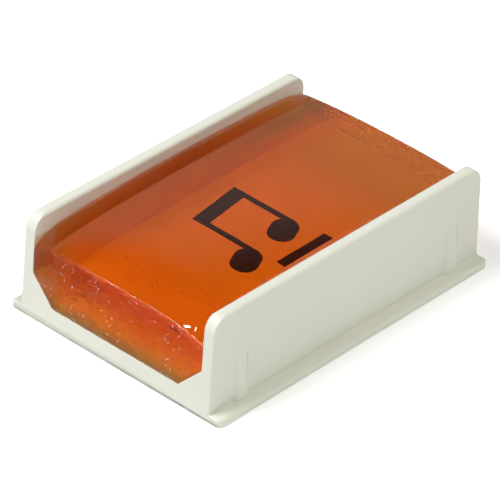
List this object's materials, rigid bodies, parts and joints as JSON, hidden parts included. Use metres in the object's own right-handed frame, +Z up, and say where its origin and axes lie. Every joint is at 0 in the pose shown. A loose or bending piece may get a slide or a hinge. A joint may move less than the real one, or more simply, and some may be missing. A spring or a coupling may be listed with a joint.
{
  "type": "bow rosin cake in tray",
  "caption": "Block of clear amber bow rosin cast in an open cream moulded tray with two side walls, side flanges and a printed mark under the rosin.",
  "frame": {"origin": "middle of the flat underside, on the surface that the tray stands on", "axes": "+Y along the bow stroke towards the cake's higher end, +X across towards the mark's underline, +Z up"},
  "size_m": [0.0384, 0.054, 0.0158],
  "materials": {
    "tray_plastic": "cream moulded polystyrene, fine satin, edges slightly glossy",
    "rosin": "clear amber rosin, poured glossy top, crazed and bubbled open ends",
    "ink": "dark printed ink film"
  },
  "bodies": {
    "root": {"holder": "tray_plastic", "rosin_cake": "rosin", "printed_mark": "ink"}
  },
  "joints": []
}
